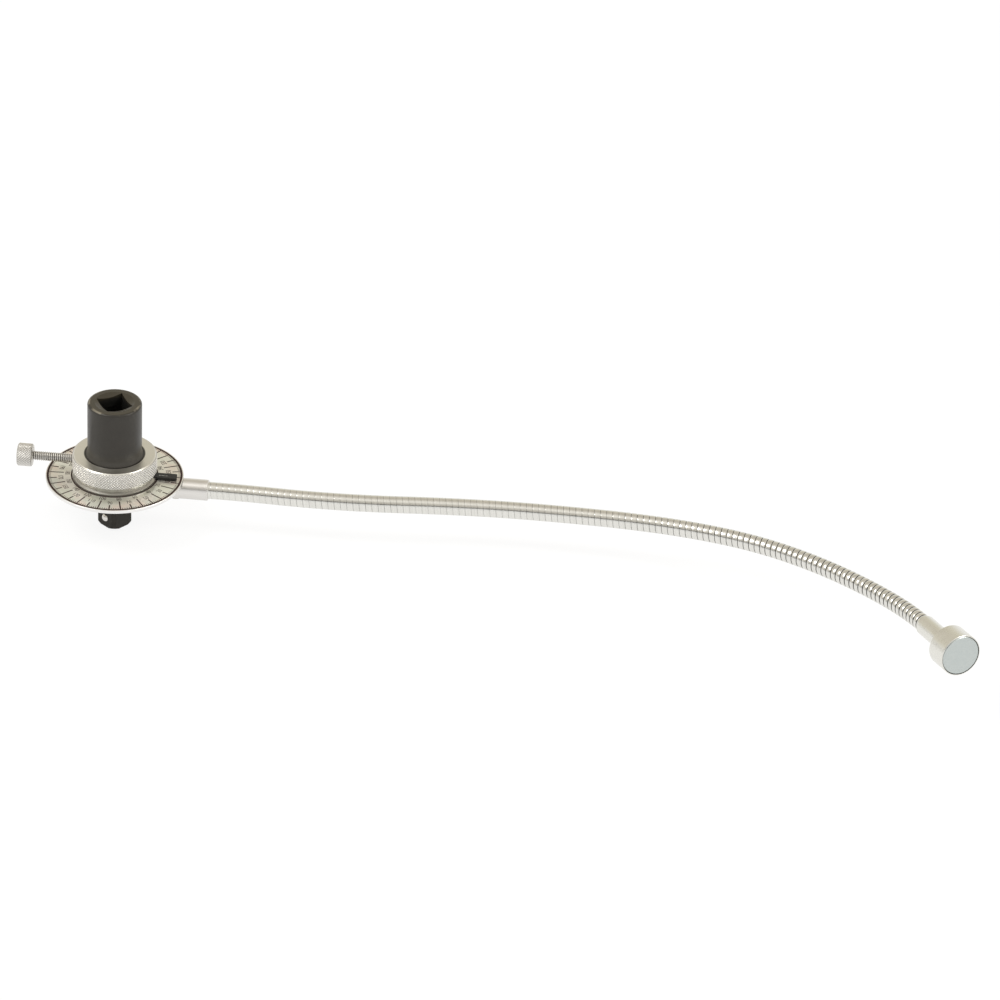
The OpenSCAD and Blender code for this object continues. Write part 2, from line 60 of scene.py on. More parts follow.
# %% Camera
CAMERA_PLACE = Vector((0.31511, -2.10823, 1.33242))
CAMERA_TURN, CAMERA_TILT, CAMERA_ROLL = 3.5669, 31.6821, 2.5951
SENSOR_WIDTH, LENS_LENGTH = 36.0, 189.0
SEEN_FROM, SEEN_TO = 0.05, 40.0


def camera_turning(turn, tilt, roll):
    """Turning that looks back along a heading and a tilt, then rolls about the view."""
    a, e = math.radians(turn), math.radians(tilt)
    back = Vector((math.sin(a) * math.cos(e), -math.cos(a) * math.cos(e), math.sin(e)))
    level = (-back).to_track_quat("-Z", "Y")
    return level @ Quaternion((0, 0, 1), math.radians(roll))


eye = bpy.data.cameras.new("studio_camera")
eye.sensor_width, eye.lens = SENSOR_WIDTH, LENS_LENGTH
eye.clip_start, eye.clip_end = SEEN_FROM, SEEN_TO
camera = bpy.data.objects.new("studio_camera", eye)
bpy.context.scene.collection.objects.link(camera)
camera.rotation_mode = "QUATERNION"
camera.location = CAMERA_PLACE
camera.rotation_quaternion = camera_turning(CAMERA_TURN, CAMERA_TILT, CAMERA_ROLL)
bpy.context.scene.camera = camera
bpy.context.scene.view_settings.view_transform = "Standard"
print("camera looks along", [round(v, 3) for v in camera.matrix_basis.col[2][:3]])

# %% [markdown]
# A material is a sheet of nodes. Wiring it by hand hides the sum behind many lines,
# so a small class wraps one socket and lets plain Python arithmetic add Math nodes:
# 1 - mask is one Subtract node. Every other node comes from one method.

# %% Node sheets written as sums
class Signal:
    """One output socket on a sheet, which adds a Math node for each sum."""

    def __init__(self, sheet, socket):
        self.sheet, self.socket = sheet, socket

    def math(self, operation, *values):
        return self.sheet.node("ShaderNodeMath", {"operation": operation}, *values)

    def __add__(self, other):
        return self.math("ADD", self, other)

    def __sub__(self, other):
        return self.math("SUBTRACT", self, other)

    def __rsub__(self, other):
        return self.math("SUBTRACT", other, self)

    def __mul__(self, other):
        return self.math("MULTIPLY", self, other)

    def __rmul__(self, other):
        return self.math("MULTIPLY", other, self)

    def __truediv__(self, other):
        return self.math("DIVIDE", self, other)

    def __pow__(self, other):
        return self.math("POWER", self, other)

    def __lt__(self, other):
        return self.math("LESS_THAN", self, other)

    def __gt__(self, other):
        return self.math("GREATER_THAN", self, other)

    def between(self, low, high):
        """Rises from 0 at low to 1 at high, and stays there."""
        return self.sheet.node(
            "ShaderNodeMapRange", {"interpolation_type": "SMOOTHSTEP"}, self, low, high
        )


class Sheet:
    """The node tree of one material or of the world."""

    def __init__(self, tree):
        self.tree = tree
        tree.nodes.clear()

    def node(self, kind, settings=None, *values, out=0, **named):
        made = self.tree.nodes.new(kind)
        for name, value in (settings or {}).items():
            if name == "stops":
                self.set_stops(made.color_ramp, value)
            else:
                setattr(made, name, value)
        for key, value in [*enumerate(values), *named.items()]:
            if value is None:
                continue
            slot = made.inputs[key if isinstance(key, int) else key.replace("_", " ")]
            if isinstance(value, Signal):
                self.tree.links.new(value.socket, slot)
            else:
                slot.default_value = value
        return Signal(self, made.outputs[out])

    def set_stops(self, ramp, stops):
        while len(ramp.elements) < len(stops):
            ramp.elements.new(0.5)
        for element, (place, colour) in zip(ramp.elements, stops):
            element.position, element.color = place, (*colour, 1)

    def ramp(self, value, *stops):
        return self.node("ShaderNodeValToRGB", {"stops": stops}, value)

    def mix(self, share, one, other):
        """Blends two colours, which a Math node would turn grey."""
        made = self.tree.nodes.new("ShaderNodeMix")
        made.data_type, made.clamp_factor = "RGBA", True
        for index, value in ((0, share), (6, one), (7, other)):
            if isinstance(value, Signal):
                self.tree.links.new(value.socket, made.inputs[index])
            elif index:
                made.inputs[index].default_value = (*value, 1)
            else:
                made.inputs[index].default_value = value
        return Signal(self, made.outputs[2])

    def place(self):
        """The point on the object, in metres, as three signals."""
        point = self.node("ShaderNodeTexCoord", out=3)
        return point, *(
            self.node("ShaderNodeSeparateXYZ", None, point, out=i) for i in range(3)
        )

    def point(self, x, y, z):
        return self.node("ShaderNodeCombineXYZ", None, x, y, z)

    def noise(self, vector, scale, detail=2.0):
        return self.node("ShaderNodeTexNoise", None, vector, Scale=scale, Detail=detail)

    def bump(self, height, depth, strength=1.0):
        return self.node(
            "ShaderNodeBump", None, Strength=strength, Distance=depth, Height=height
        )


def new_material(name):
    material = bpy.data.materials.new(name)
    material.use_nodes = True
    return material, Sheet(material.node_tree)


def finish_material(sheet, colour, metallic, roughness, normal=None, **constants):
    """Ends a sheet in one Principled shader and its output."""
    shader = sheet.tree.nodes.new("ShaderNodeBsdfPrincipled")
    chosen = {"Base Color": colour, "Metallic": metallic, "Roughness": roughness}
    chosen["Normal"] = normal
    for name, value in constants.items():
        chosen[name.replace("_", " ")] = value
    for name, value in chosen.items():
        if isinstance(value, Signal):
            sheet.tree.links.new(value.socket, shader.inputs[name])
        elif value is not None:
            flat = (*value, 1) if isinstance(value, tuple) else value
            shader.inputs[name].default_value = flat
    end = sheet.tree.nodes.new("ShaderNodeOutputMaterial")
    sheet.tree.links.new(shader.outputs[0], end.inputs[0])


# %% [markdown]
# The studio is a white sweep under a plain ceiling. Polished metal shows its room, so
# the world has one: white low down, a dark strip where the photographer stands, a
# bright patch overhead and a tan ceiling behind.

# %% World
CEILING = (0.63, 0.585, 0.51)
BEHIND = (0.76, 0.72, 0.58)
OVERHEAD = (1.02, 0.99, 0.93)
DARK = (0.05, 0.045, 0.04)
WHITE = (1.0, 1.0, 1.0)

world = bpy.data.worlds.new("studio")
bpy.context.scene.world = world
world.use_nodes = True
sheet = Sheet(world.node_tree)
way = sheet.node("ShaderNodeTexCoord", out=0)
way_x, way_y, way_z = (sheet.node("ShaderNodeSeparateXYZ", None, way, out=i) for i in range(3))
front = way_x * math.sin(math.radians(CAMERA_TURN)) - way_y * math.cos(
    math.radians(CAMERA_TURN)
)
height = sheet.node("ShaderNodeMath", {"operation": "ARCTAN2"}, way_z, front) / math.pi
room = sheet.ramp(
    height,
    (0.0, WHITE), (0.105, WHITE), (0.117, DARK), (0.164, DARK), (0.179, (0.62, 0.60, 0.56)),
    (0.28, (0.64, 0.61, 0.55)), (0.38, OVERHEAD), (0.45, OVERHEAD), (0.62, CEILING),
    (0.76, CEILING), (0.84, BEHIND), (0.97, WHITE),
)
background = sheet.node("ShaderNodeBackground", None, room, 1.0)
end = sheet.tree.nodes.new("ShaderNodeOutputWorld")
sheet.tree.links.new(background.socket, end.inputs[0])
print("world nodes:", len(world.node_tree.nodes))

# %% [markdown]
# The floor is a wide pale sheet at the foot of the square drive. It is lit like any
# floor, so the gauge still shades it, but the camera and the metal see most of it as
# plain white. Light Path tells the shader which kind of ray is asking.

# %% Floor
FLOOR_HALF, FLOOR_DROP = 6.0, 0.0004
FLOOR_WHITE_SHARE, FLOOR_GLOW = 0.85, 1.04

floor_mesh = bpy.data.meshes.new("floor")
floor_mesh.from_pydata(
    [(x * FLOOR_HALF, y * FLOOR_HALF, -FLOOR_DROP) for x, y in ((-1, -1), (1, -1), (1, 1), (-1, 1))],
    [], [(0, 1, 2, 3)],
)
floor = bpy.data.objects.new("floor", floor_mesh)
bpy.context.scene.collection.objects.link(floor)
floor_paint, sheet = new_material("floor_white")
rays = [sheet.node("ShaderNodeLightPath", out=i) for i in (0, 3, 6)]
seen = rays[0].math("MAXIMUM", rays[0], rays[1].math("MAXIMUM", rays[1], rays[2]))
matt = sheet.node("ShaderNodeBsdfDiffuse", None, (0.9, 0.9, 0.9, 1))
glow = sheet.node("ShaderNodeEmission", None, (1, 1, 1, 1), FLOOR_GLOW)
both = sheet.node("ShaderNodeMixShader", None, seen * FLOOR_WHITE_SHARE, matt, glow)
end = sheet.tree.nodes.new("ShaderNodeOutputMaterial")
sheet.tree.links.new(both.socket, end.inputs[0])
floor_mesh.materials.append(floor_paint)

# %% [markdown]
# Two soft boxes shape the metal: a large one high on the left, and a weaker one on the
# right. Large lamps far away give soft edges, as a photographer's do.

# %% Lamps
def soft_box(name, place, target, width, power):
    lamp = bpy.data.lights.new(name, "AREA")
    lamp.shape, lamp.size, lamp.energy = "SQUARE", width, power
    holder = bpy.data.objects.new(name, lamp)
    bpy.context.scene.collection.objects.link(holder)
    holder.location = place
    aim = (Vector(target) - Vector(place)).to_track_quat("-Z", "Y")
    holder.rotation_mode, holder.rotation_quaternion = "QUATERNION", aim
    return holder


soft_box("lamp_left", (-1.15, -0.45, 1.9), (0.1, 0, 0), 0.8, 17)
soft_box("lamp_right", (1.5, -0.3, 1.3), (0.2, 0, 0), 0.5, 8)

# %% [markdown]
# Turned steel keeps fine rings from the tool, all round its axis. A noise that only
# reads the distance from the axis and the place along it gives those rings, and a
# second, slower noise varies the shine, as handling does. The axis may lie along Z, as
# on the pointer ring, or level, as on the ferrule and the magnet's cup.

# %% Turned and satin metals
RING_FINENESS, RING_CUT, HANDLING = 9000.0, 0.000006, 220.0
SHADED_LEFT = 0.12
NECK_TOP, FOOT_TOP, BORE_EDGE = (0.0290, 0.0294), (0.0271, 0.0276), (0.0143, 0.0147)
NECK_SHADE, FOOT_SHADE, BORE_SHADE = 0.28, 0.16, 1.2
KNURL_BOTTOM, KNURL_SHADE = (0.01986, 0.02002), 0.48


def turned(name, colour, shine, axis=(0, 0, 1), centre=(0, 0, 0), shaded=None):
    """Metal turned about an axis through a centre, with painted shade where shaded(along, across) is
    1.
    """
    material, sheet = new_material(name)
    point, x, y, z = sheet.place()
    dx, dy, dz = x - centre[0], y - centre[1], z - centre[2]
    along = dx * axis[0] + dy * axis[1] + dz * axis[2]
    square = dx * dx + dy * dy + dz * dz - along * along
    across = square.math("MAXIMUM", square, 0.0) ** 0.5
    ring_noise = sheet.noise(sheet.point(along, across, 0.0), RING_FINENESS, 3.0)
    cloud = sheet.noise(point, HANDLING, 3.0)
    rough = cloud * 0.12 + ring_noise * 0.10 + (shine - 0.11)
    tint = sheet.mix(
        ring_noise * 0.5 + cloud * 0.5,
        tuple(v * 0.93 for v in colour),
        tuple(min(v * 1.05, 1) for v in colour),
    )
    if shaded is not None:
        tint = sheet.mix(shaded(along, across), tint, tuple(v * SHADED_LEFT for v in colour))
    finish_material(sheet, tint, 1.0, rough, sheet.bump(ring_noise, RING_CUT))
    return material


def ring_grime(along, across):
    """Painted shade on the neck and foot below the knurled band, and a painted shadow line in the gap
    round the bore.
    """
    neck = NECK_SHADE * (1 - along.between(*NECK_TOP))
    foot = FOOT_SHADE * (1 - along.between(*FOOT_TOP))
    return (1 - across.between(*BORE_EDGE)) * BORE_SHADE + (neck + foot)


def knurl_valley(along, across):
    """Painted shade where the distance from the axis is near the bottom of the grooves."""
    return KNURL_SHADE * (1 - across.between(*KNURL_BOTTOM))


ring_steel = turned("ring_steel", (0.74, 0.72, 0.66), 0.38, shaded=ring_grime)
knurl_steel = turned("knurl_steel", (0.92, 0.90, 0.86), 0.42, shaded=knurl_valley)
hub_steel = turned("hub_steel", (0.60, 0.59, 0.56), 0.34)
washer_brass = turned("washer_brass", (0.74, 0.58, 0.28), 0.35)
retaining_black = turned("retaining_black", (0.10, 0.10, 0.10), 0.45)
print("turned metals:", len([m for m in bpy.data.materials if m.users == 0]))

# %% [markdown]
# The spindle is phosphated: steel soaked in a bath that leaves a thin, dark, slightly
# brown crystal coat, then oiled. It hardly mirrors, so most of its look is a fine grain
# in the colour and the shine. The top face and its funnel are a little browner, and the
# rounded edge round them is worn pale. The square hole is painted near black as shade,
# and the foot of the barrel, where it flares out to the journal, is painted a little
# paler as a highlight.

# %% Phosphate coat
TOP_FACE, TOP_EDGE_R, HOLE_R = 0.0640, 0.0119, 0.0091
BARREL_FOOT, FLARE_SHEEN_BAND = 0.0381, (0.0385, 0.0450)
WORN_HEIGHT, WORN_RADIUS, WORN_PATCHES = (0.0656, 0.0660), (0.0114, 0.0118), (0.45, 0.60)
HOLE_FLOOR, HOLE_DARKENS = 0.0480, (0.0620, 0.0655)


def phosphate():
    material, sheet = new_material("spindle_black")
    point, x, y, z = sheet.place()
    grain = sheet.noise(point, 4500.0, 4.0)
    cloud = sheet.noise(point, 160.0, 3.0)
    colour = sheet.mix(grain * 0.6 + cloud * 0.4, (0.020, 0.018, 0.015), (0.056, 0.051, 0.043))
    radius = (x * x + y * y) ** 0.5
    top = z.between(TOP_FACE, TOP_FACE + 0.0006)
    colour = sheet.mix(top * (1 - radius.between(TOP_EDGE_R, TOP_EDGE_R + 0.0003)) * 0.75,
                       colour, (0.056, 0.047, 0.029))
    # painted highlight: a paler band round the flare at the foot of the barrel
    flare_sheen = (1 - z.between(*FLARE_SHEEN_BAND)) * (z > BARREL_FOOT)
    colour = sheet.mix(flare_sheen * 0.35, colour, (0.105, 0.097, 0.082))
    worn = z.between(*WORN_HEIGHT) * radius.between(*WORN_RADIUS) * cloud.between(*WORN_PATCHES)
    colour = sheet.mix(worn * 0.7, colour, (0.28, 0.25, 0.19))
    # painted shade: the inside of the square hole below its mouth is coloured near black
    hole_shade = (1 - radius.between(HOLE_R - 0.0001, HOLE_R)) * (1 - z.between(*HOLE_DARKENS))
    colour = sheet.mix(hole_shade * 0.92 * (z > HOLE_FLOOR), colour, (0.003, 0.003, 0.002))
    rough = grain * 0.18 + cloud * 0.12 + 0.24 + hole_shade * 0.35
    finish_material(
        sheet, colour, 0.30, rough, sheet.bump(grain, 0.00001, 0.6), Specular_IOR_Level=0.45
    )
    return material


spindle_black = phosphate()

# %% [markdown]
# The dial is a satin plate, so its face is nearly a mirror with its shine drawn out
# along the turning marks. Anisotropy does that with one constant. The coat has a faint
# peach and green cast, which a slow noise spreads unevenly.

# %% Dial face
WARM_FROM, RIM_EDGE = (0.024, 0.030), (0.0323, 0.0325)


def dial_plate_face():
    material, sheet = new_material("dial_face")
    point, x, y, z = sheet.place()
    radius = (x * x + y * y) ** 0.5
    marks = sheet.noise(sheet.point(radius, 0.0, 0.0), 9000.0, 2.0)
    cloud = sheet.noise(point, 95.0, 2.0)
    warm = cloud.between(0.42, 0.62) * radius.between(*WARM_FROM)
    colour = sheet.mix(cloud.between(0.35, 0.65), (0.78, 0.79, 0.71), (0.85, 0.82, 0.75))
    colour = sheet.mix(warm * 0.6, colour, (0.86, 0.70, 0.60))
    rim = radius.between(*RIM_EDGE)
    colour = sheet.mix(rim, colour, (0.86, 0.85, 0.84))
    rough = marks * 0.10 + cloud * 0.08 + 0.22
    finish_material(
        sheet, colour, 0.80, rough, sheet.bump(marks, 0.000004), Anisotropic=0.8
    )
    return material


dial_face = dial_plate_face()
print("dial face nodes:", len(dial_face.node_tree.nodes))

# %% [markdown]
# The arm bends in one plane, which rises a little towards the camera. The ferrule points
# along X. The cup and the magnet point along the arm's end, whose place and heading come
# from the same list of bends as the CAD model's.

# %% The arm's centre line
LINK_ANGLES = np.array([-3.5, 5, 5, -3, -4, -2.5, -5.5, -9, -13, -9.5, -7.5, -12.5])
LINK_LEN, ARM_START, ARM_HEIGHT = 0.031, 0.045, 0.0215
ARM_RISE = math.radians(6.5)
LINKS = len(LINK_ANGLES)
PLANE = np.array([[1.0, 0.0, 0.0],
                  [0.0, math.cos(ARM_RISE), -math.sin(ARM_RISE)],
                  [0.0, math.sin(ARM_RISE), math.cos(ARM_RISE)]])


def arc_step(bend, heading, length):
    """Steps of circular arcs: each runs length times sin(half)/half along its mean way."""
    half = np.radians(bend) / 2
    way = np.radians(heading) + half
    reach = length * np.sinc(half / np.pi)
    return np.stack([reach * np.cos(way), reach * np.sin(way)], -1)


link_heading = np.concatenate([[0.0], np.cumsum(LINK_ANGLES)])
link_start = np.concatenate([
    [[ARM_START, 0.0]],
    [ARM_START, 0.0] + np.cumsum(arc_step(LINK_ANGLES, link_heading[:-1], LINK_LEN), 0),
])


def arm_line(s):
    """Places, side ways and upward ways at distances s along the arm.

    In the bending plane the side way is (-sin, cos) of the heading. The plane's three
    unit vectors then turn places and ways into the frame."""
    link = np.clip(np.floor(s / LINK_LEN), 0, LINKS - 1).astype(int)
    part = s / LINK_LEN - link
    bent = np.clip(part, 0, 1)
    heading = link_heading[link] + LINK_ANGLES[link] * bent
    flat = link_start[link] + arc_step(LINK_ANGLES[link] * bent, link_heading[link], LINK_LEN * bent)
    way = np.radians(heading)
    spare = ((part - bent) * LINK_LEN)[..., None]
    flat = flat + spare * np.stack([np.cos(way), np.sin(way)], -1)
    side = np.stack([-np.sin(way), np.cos(way)], -1) @ PLANE[:2]
    return [0, 0, ARM_HEIGHT] + flat @ PLANE[:2], side, np.broadcast_to(PLANE[2], side.shape)


cup_centre, cup_side, cup_up = arm_line(np.array([LINKS * LINK_LEN]))
cup_place = tuple(float(v) for v in cup_centre[0])
cup_axis = tuple(float(v) for v in np.cross(cup_side[0], cup_up[0]))

# %% [markdown]
# Now the metals that lie along other axes can be made. Each is the same turned finish
# with its own axis, colour and shine.

# %% Lying metals
CLAMP_Z = 0.0334
THREAD_ROOT, THREAD_END = (0.00185, 0.00215), 0.0391
HEAD_ROOT, HEAD_CORE_R = (0.00518, 0.00540), 0.0050


def screw_valleys(along, across):
    """Painted shade in the bottoms of the thread and of the head's knurl, darker than their crests.
    """
    thread = (1 - across.between(*THREAD_ROOT)) * (along < THREAD_END)
    return thread * 0.65 + (1 - across.between(*HEAD_ROOT)) * (across > HEAD_CORE_R) * 0.45


ferrule_steel = turned("ferrule_steel", (0.74, 0.72, 0.69), 0.34, axis=(1, 0, 0),
                       centre=(0, 0, ARM_HEIGHT))
cup_steel = turned("cup_steel", (0.77, 0.76, 0.71), 0.28, axis=cup_axis, centre=cup_place)
clamp_steel = turned("clamp_steel", (0.76, 0.74, 0.70), 0.42, axis=(-1, 0, 0),
                     centre=(0, 0, CLAMP_Z), shaded=screw_valleys)
pad_brass = turned("pad_brass", (0.74, 0.58, 0.28), 0.35, axis=(-1, 0, 0), centre=(0, 0, CLAMP_Z))


GRAIN_FINENESS, GRAIN_CUT = 2500.0, 0.000004


def cloudy(name, low, high, metallic, shine, scale=300.0):
    """A finish with no direction: a slow cloud in the colour, a fine grain in the shine."""
    material, sheet = new_material(name)
    point, x, y, z = sheet.place()
    cloud = sheet.noise(point, scale, 3.0)
    fine = sheet.noise(point, GRAIN_FINENESS, 3.0)
    finish_material(
        sheet, sheet.mix(cloud, low, high), metallic,
        cloud * 0.10 + fine * 0.10 + (shine - 0.10), sheet.bump(fine, GRAIN_CUT),
    )
    return material


ball_steel = cloudy("ball_steel", (0.66, 0.64, 0.60), (0.74, 0.71, 0.67), 1.0, 0.14)
spring_steel = cloudy("spring_steel", (0.55, 0.55, 0.53), (0.64, 0.64, 0.62), 1.0, 0.30)
screw_steel = cloudy("screw_steel", (0.55, 0.54, 0.50), (0.66, 0.64, 0.60), 1.0, 0.32)
magnet_nickel = cloudy("magnet_nickel", (0.50, 0.545, 0.535), (0.58, 0.615, 0.60), 0.9, 0.38, 500.0)
core_sleeve = cloudy("core_sleeve", (0.04, 0.04, 0.04), (0.07, 0.07, 0.07), 0.0, 0.60)
print("metals made:", len(bpy.data.materials))

# %% [markdown]
# The pointer is painted black and a white line is filled into the groove cut in it. The
# paint reads where it is: inside the groove's box it is white, elsewhere black.

# %% Pointer paint
GROOVE_X, GROOVE_HALF, GROOVE_Z = (0.02110, 0.02545), 0.00027, (0.0273, 0.0276)


def pointer_paint():
    material, sheet = new_material("pointer_black")
    point, x, y, z = sheet.place()
    grain = sheet.noise(point, 2200.0, 3.0)
    inside = (x > GROOVE_X[0]) * (x < GROOVE_X[1]) * (y > -GROOVE_HALF) * (y < GROOVE_HALF)
    groove = inside * (z > GROOVE_Z[0]) * (z < GROOVE_Z[1])
    black = sheet.mix(grain, (0.008, 0.008, 0.007), (0.024, 0.023, 0.021))
    colour = sheet.mix(groove, black, (0.85, 0.85, 0.82))
    finish_material(sheet, colour, 0.0, grain * 0.15 + 0.34, sheet.bump(grain, 0.000006),
                    Specular_IOR_Level=0.3)
    return material


pointer_black = pointer_paint()
print("pointer paint nodes:", len(pointer_black.node_tree.nodes))

# %% [markdown]
# Most CAD pieces already have their real shape, so they only get their finish. The mesh
# is left as it is, and the material goes into its slots.

# %% Dress the CAD pieces
FINISHES = {
    "drive_spindle": spindle_black, "detent_ball": ball_steel,
    "detent_spring": spring_steel, "retaining_ring": retaining_black,
    "thrust_washer": washer_brass, "dial_hub": hub_steel, "dial_plate": dial_face,
    "arm_ferrule": ferrule_steel, "ferrule_screws": screw_steel,
    "knurled_ring": ring_steel, "pointer": pointer_black,
    "pointer_screw": screw_steel, "clamp_pad": pad_brass,
    "magnet_cup": cup_steel, "magnet": magnet_nickel,
    **{f"core_link_{k}": core_sleeve for k in range(1, LINKS + 1)},
}
for node_name, finish in FINISHES.items():
    piece_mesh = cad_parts[node_name].data
    piece_mesh.materials.clear()
    piece_mesh.materials.append(finish)
print("dressed:", len(FINISHES), "CAD pieces")

# %% [markdown]
# New pieces are grids of points: rows along the piece and columns round it. The faces
# follow from the grid, and points that fall on one place, at seams and poles, are
# welded so that the mesh is closed. A grid may carry a flat map of itself as well.

# %% Grid to mesh
WELD = 1e-7


def grid_piece(name, points, material, wrap_rows=False, wrap_columns=False, sharp=32, flat=None):
    """A mesh from a (rows, columns, 3) array. Column steps turn left of the row steps."""
    rows, columns = points.shape[:2]
    i = np.arange(rows if wrap_rows else rows - 1)[:, None]
    j = np.arange(columns if wrap_columns else columns - 1)[None, :]
    i2, j2 = (i + 1) % rows, (j + 1) % columns
    quads = np.stack(np.broadcast_arrays(
        i * columns + j, i * columns + j2, i2 * columns + j2, i2 * columns + j
    ), -1).reshape(-1, 4)
    return mesh_piece(name, points.reshape(-1, 3), quads, material, sharp, flat)


def mesh_piece(name, points, faces, material, sharp=32, flat=None):
    """Fills a mesh from arrays of points and faces, welds it and shades it smooth."""
    mesh = bpy.data.meshes.new(name)
    mesh.vertices.add(len(points))
    mesh.vertices.foreach_set("co", np.ascontiguousarray(points, np.float32).ravel())
    mesh.loops.add(faces.size)
    mesh.loops.foreach_set("vertex_index", faces.astype(np.int32).ravel())
    mesh.polygons.add(len(faces))
    mesh.polygons.foreach_set("loop_start", np.arange(len(faces), dtype=np.int32) * faces.shape[1])
    mesh.update(calc_edges=True)
    if flat is not None:
        layer = mesh.uv_layers.new(name="flat")
        layer.data.foreach_set("uv", flat.reshape(-1, 2)[faces.ravel()].astype(np.float32).ravel())
    work = bmesh.new()
    work.from_mesh(mesh)
    bmesh.ops.remove_doubles(work, verts=work.verts, dist=WELD)
    bmesh.ops.dissolve_degenerate(work, edges=work.edges, dist=WELD)
    work.to_mesh(mesh)
    work.free()
    mesh.shade_smooth()
    mesh.set_sharp_from_angle(angle=math.radians(sharp))
    mesh.materials.append(material)
    piece = bpy.data.objects.new(name, mesh)
    bpy.context.scene.collection.objects.link(piece)
    return piece


def report(piece):
    mesh = piece.data
    mesh.calc_loop_triangles()
    edge_use = np.zeros(len(mesh.edges), int)
    loops = np.zeros(len(mesh.loops), int)
    mesh.loops.foreach_get("edge_index", loops)
    np.add.at(edge_use, loops, 1)
    print(piece.name, "triangles", len(mesh.loop_triangles), "open edges", int((edge_use != 2).sum()))


# %% [markdown]
# A diamond knurl is two sets of V-grooves that cross. On a cylinder unrolled flat, each
# set is a slanted saw wave, and the height left standing is the lower of the two. The
# knurl on the pointer ring is a thin sleeve over the CAD ring, closed on its inside. A
# Boolean modifier then drills it where the clamp screw goes through.

# %% Diamond knurl
ROD_SIDES = 40


def saw(phase):
    """0 in the groove and 1 on the ridge, over and over."""
    return 1 - np.abs(2 * (phase - np.floor(phase)) - 1)


def knurl_height(turn, along, count, pitch, second_cut=1.0):
    """Pyramids: the lower of two slanted saw waves, count of them round the turn.

    second_cut is how deep the second set of grooves goes, as a share of the first."""
    first = count * turn / (2 * np.pi) + along / pitch
    second = count * turn / (2 * np.pi) - along / pitch
    return np.minimum(saw(first), 1 - second_cut * (1 - saw(second)))


def cut_hole(piece, height, radius, inside, outside):
    """Drills a round hole along -X: the piece less a rod that is swept about that axis."""
    round_it = np.arange(ROD_SIDES) * 2 * np.pi / ROD_SIDES
    section = np.array([(-inside, 0.0), (-inside, radius), (-outside, radius), (-outside, 0.0)])
    x, r = section[:, :1] + 0 * round_it, section[:, 1:] + 0 * round_it
    rod = grid_piece("drill", np.stack([x, r * np.cos(round_it), height - r * np.sin(round_it)], -1),
                     piece.data.materials[0], wrap_columns=True)
    cut = piece.modifiers.new("hole", "BOOLEAN")
    cut.object, cut.operation, cut.solver = rod, "DIFFERENCE", "EXACT"
    scene_state = bpy.context.evaluated_depsgraph_get()
    piece.data = bpy.data.meshes.new_from_object(piece.evaluated_get(scene_state))
    piece.modifiers.clear()
    bpy.data.objects.remove(rod)


RING_R, KNURL_LOW, KNURL_HIGH = 0.01985, 0.0297, 0.0377
KNURL_COUNT, KNURL_STEP, KNURL_DEPTH = 88, 8, 0.00034
KNURL_FADE, SLEEVE_SINK, SLEEVE_WALL = 0.0002, 0.00010, 0.0004
SCREW_HOLE_R, HOLE_MARGIN = 0.0023, 0.002

columns = KNURL_COUNT * KNURL_STEP
turn = np.arange(columns) * 2 * np.pi / columns
pitch = 2 * np.pi * RING_R / KNURL_COUNT
rows = int(round((KNURL_HIGH - KNURL_LOW) / pitch * KNURL_STEP))
z = np.linspace(KNURL_LOW, KNURL_HIGH, rows + 1)
fade = np.clip(np.minimum(z - z[0], z[-1] - z) / KNURL_FADE, 0, 1)
radius = RING_R - SLEEVE_SINK + fade[:, None] * (
    SLEEVE_SINK + KNURL_DEPTH * knurl_height(turn[None], (z - z[0])[:, None], KNURL_COUNT, pitch)
)
inner = np.full((2, columns), RING_R - SLEEVE_WALL)
radius = np.concatenate([radius, inner])
level = np.concatenate([z, [z[-1], z[0]]])[:, None] + np.zeros(columns)
sleeve = np.stack([radius * np.cos(turn), radius * np.sin(turn), level], -1)
knurl_ring = grid_piece("ring_knurl", sleeve, knurl_steel, True, True, sharp=12)
cut_hole(knurl_ring, CLAMP_Z, SCREW_HOLE_R, RING_R - HOLE_MARGIN, RING_R + HOLE_MARGIN)
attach(knurl_ring, "pointer_ring")
report(knurl_ring)

# %% [markdown]
# A thread and a strip-wound hose are the same shape to a computer: a profile that
# repeats each pitch and moves along by one pitch each turn. So each column of the grid
# starts a little further on than the last, and after a full turn it meets the next
# thread of the first column.

